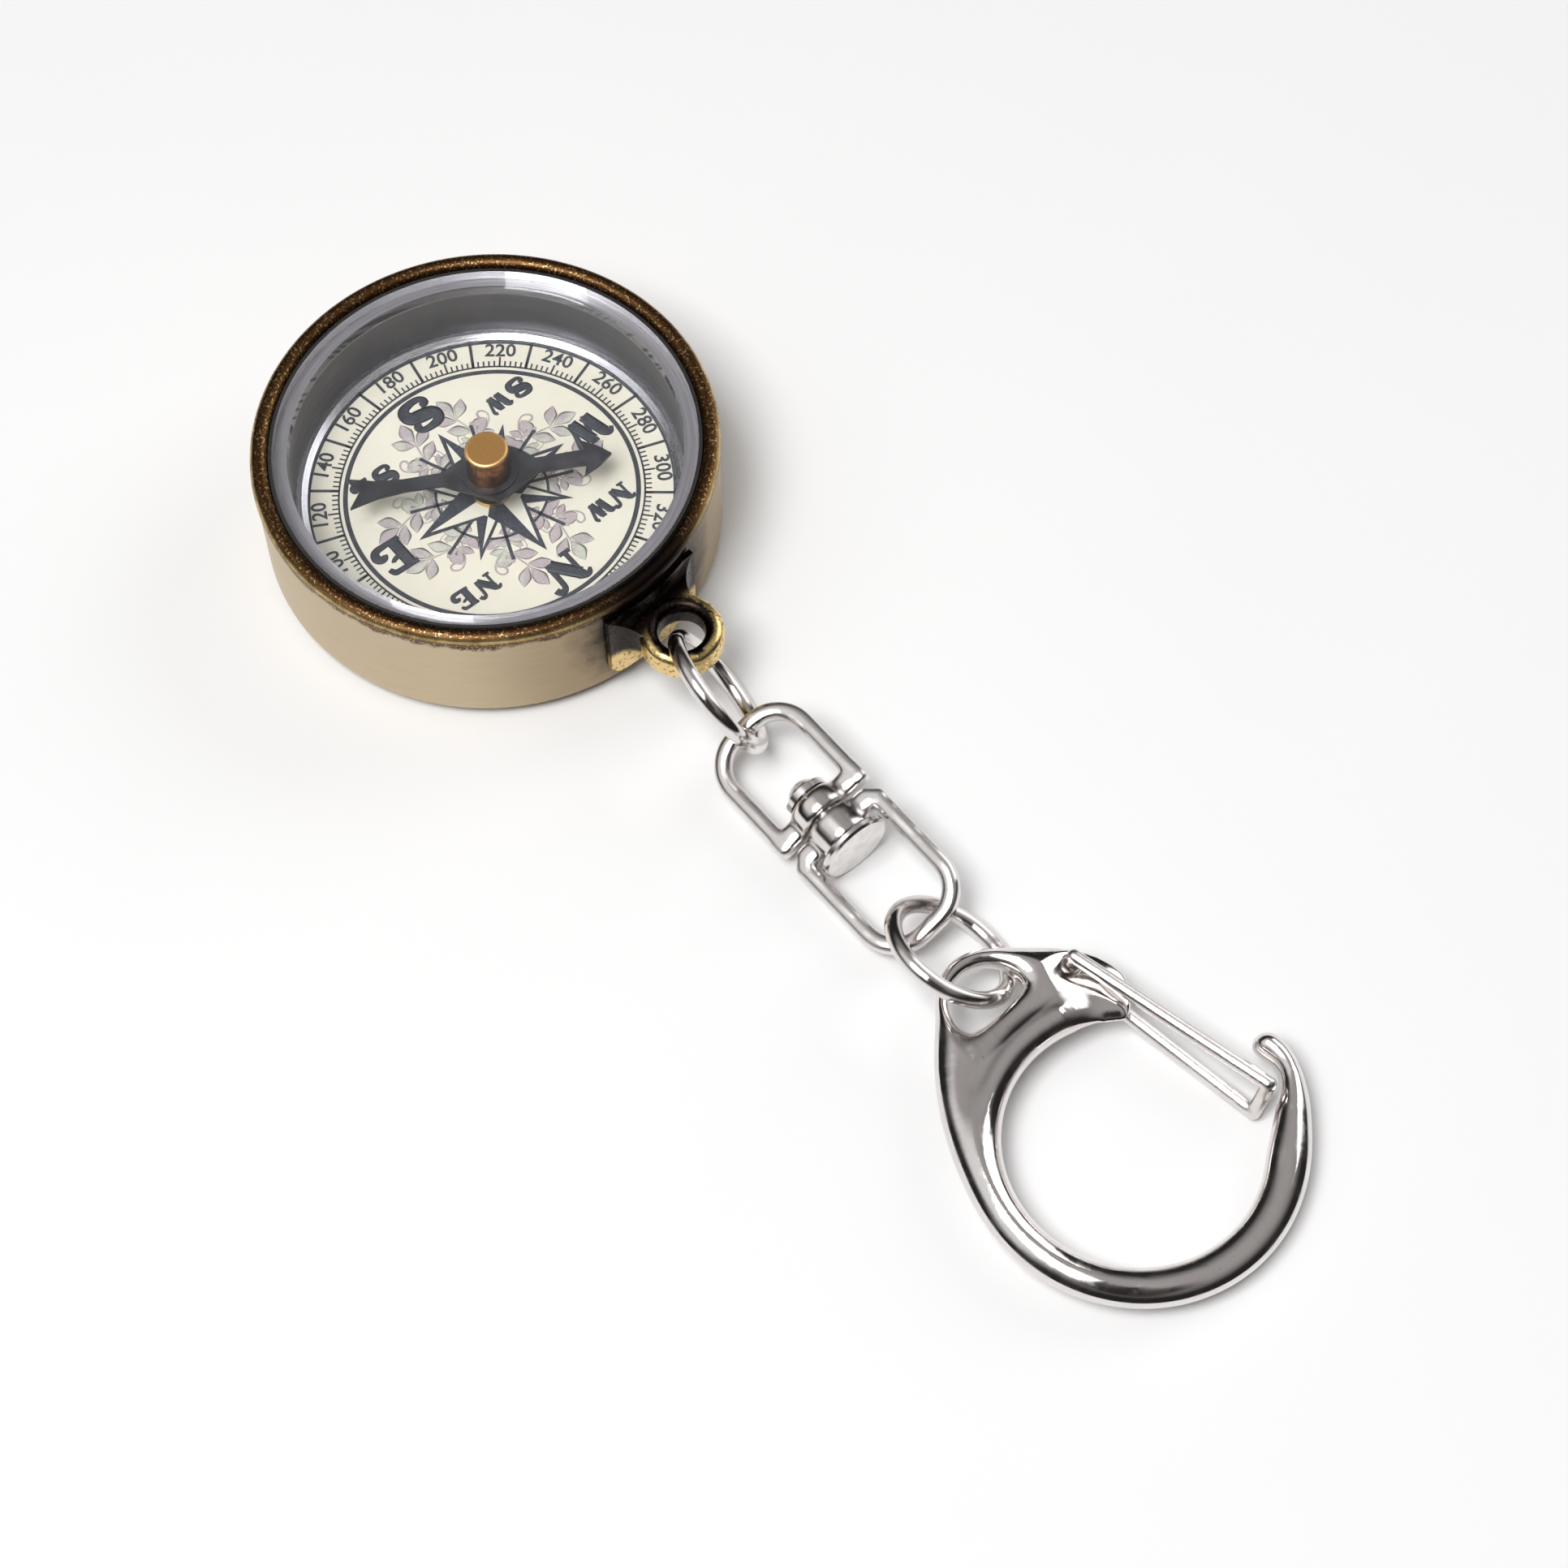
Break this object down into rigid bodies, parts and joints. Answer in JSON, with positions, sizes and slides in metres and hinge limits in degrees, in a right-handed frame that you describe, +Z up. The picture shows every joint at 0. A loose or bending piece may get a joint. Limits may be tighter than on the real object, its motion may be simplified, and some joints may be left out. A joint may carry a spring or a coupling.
{
  "type": "pocket compass with key chain",
  "caption": "Round brass pocket compass with glass top, dial and needle, on a short chain with swivel and spring-gate hook",
  "frame": {"origin": "centre of the case's flat underside", "axes": "+X runs from the case's centre to its lug and on along the chain, +Z is up through the crystal, +Y completes a right-handed frame"},
  "size_m": [0.1149, 0.0408, 0.0125],
  "materials": {
    "case_brass": "aged, satin",
    "lug_brass": "aged, rim polished",
    "glue": "soft",
    "cup_metal": "dark satin",
    "card": "printed, matte",
    "ring_silver": "bright",
    "boss_brass": "turned",
    "pin_steel": "ground",
    "needle_black": "black, satin",
    "cap_copper": "turned, worn copper tone",
    "jewel": "polished",
    "crystal": "clear",
    "seal": "matte",
    "nickel": "polished nickel",
    "rivet_steel": "plain",
    "hook_nickel": "polished nickel",
    "gate_steel": "polished spring wire"
  },
  "bodies": {
    "body": {"case": "case_brass", "lug": "lug_brass", "glue_pad": "glue", "capsule_cup": "cup_metal", "dial_card": "card", "dial_ring": "ring_silver", "pivot_boss": "boss_brass", "pivot_pin": "pin_steel", "crystal": "crystal", "crystal_seal": "seal"},
    "needle_set": {"needle": "needle_black", "needle_cap": "cap_copper", "jewel_bearing": "jewel"},
    "first_ring": {"lug_ring": "nickel"},
    "bow": {"swivel_bow": "nickel"},
    "loop": {"swivel_loop": "nickel", "swivel_rivet": "rivet_steel"},
    "second_ring": {"hook_ring": "nickel"},
    "hook": {"hook_body": "hook_nickel"},
    "gate": {"gate_wire": "gate_steel"}
  },
  "joints": [
    {"name": "needle_spin", "type": "hinge", "parent": "body", "child": "needle_set", "pos_m": [0, 0, 0.00987], "axis": [0, 0, 1], "continuous": true},
    {"name": "lug_ring_lift", "type": "hinge", "parent": "body", "child": "first_ring", "pos_m": [0.02628, -0.00048, 0.007], "axis": [0.1711, 0.9853, 0], "range_deg": [-20, 30]},
    {"name": "swivel_swing", "type": "hinge", "parent": "first_ring", "child": "bow", "pos_m": [0.0343, -0.00218, 0.00417], "axis": [-0.1631, 0.5163, -0.8407], "range_deg": [-45, 45]},
    {"name": "swivel_spin", "type": "hinge", "parent": "bow", "child": "loop", "pos_m": [0.04333, -0.00279, 0.00346], "axis": [0.9947, -0.0967, -0.0349], "continuous": true},
    {"name": "hook_ring_lift", "type": "hinge", "parent": "loop", "child": "second_ring", "pos_m": [0.05616, -0.00403, 0.00301], "axis": [0.1027, 0.9216, 0.3744], "range_deg": [-60, 60]},
    {"name": "hook_swing", "type": "hinge", "parent": "second_ring", "child": "hook", "pos_m": [0.05927, -0.005, 0.00408], "axis": [0.0919, 0.6021, 0.7931], "range_deg": [-50, 50]},
    {"name": "gate_open", "type": "hinge", "parent": "hook", "child": "gate", "pos_m": [0.06695, 0.00117, 0.00372], "axis": [0.0732, -0.0034, 0.9973], "range_deg": [-22, 0], "stiffness_Nm_per_rad": 0.05, "springref_deg": 5.73}
  ]
}
